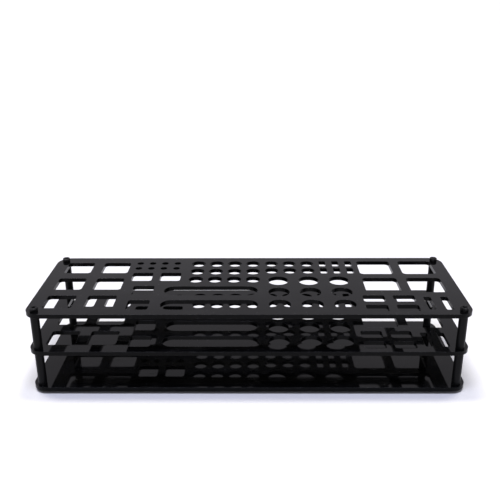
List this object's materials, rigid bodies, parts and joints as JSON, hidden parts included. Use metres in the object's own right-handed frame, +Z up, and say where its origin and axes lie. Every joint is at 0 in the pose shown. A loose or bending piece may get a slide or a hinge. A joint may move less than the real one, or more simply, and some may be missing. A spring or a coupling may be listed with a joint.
{
  "type": "hobby workstation organizer",
  "caption": "Desktop tool organizer: tiered plates on standoffs, the upper ones perforated with matching square, round and slotted openings that hold tools upright over a plain base.",
  "frame": {"origin": "on the surface it stands on, under the middle of the plates", "axes": "+Z up, -Y towards the front long side, +X along the length to the right seen from the front"},
  "size_m": [0.3, 0.1, 0.0635],
  "materials": {
    "black_acrylic": "glossy cast acrylic sheet, laser cut",
    "standoff": "satin black anodised, turned",
    "screw": "black oxide, lightly oiled"
  },
  "bodies": {
    "root": {"base_plate": "black_acrylic", "middle_plate": "black_acrylic", "top_plate": "black_acrylic", "lower_standoff_front_left": "standoff", "upper_standoff_front_left": "standoff", "top_screw_front_left": "screw", "bottom_screw_front_left": "screw", "joining_stud_front_left": "screw", "lower_standoff_front_right": "standoff", "upper_standoff_front_right": "standoff", "top_screw_front_right": "screw", "bottom_screw_front_right": "screw", "joining_stud_front_right": "screw", "lower_standoff_rear_left": "standoff", "upper_standoff_rear_left": "standoff", "top_screw_rear_left": "screw", "bottom_screw_rear_left": "screw", "joining_stud_rear_left": "screw", "lower_standoff_rear_right": "standoff", "upper_standoff_rear_right": "standoff", "top_screw_rear_right": "screw", "bottom_screw_rear_right": "screw", "joining_stud_rear_right": "screw"}
  },
  "joints": []
}
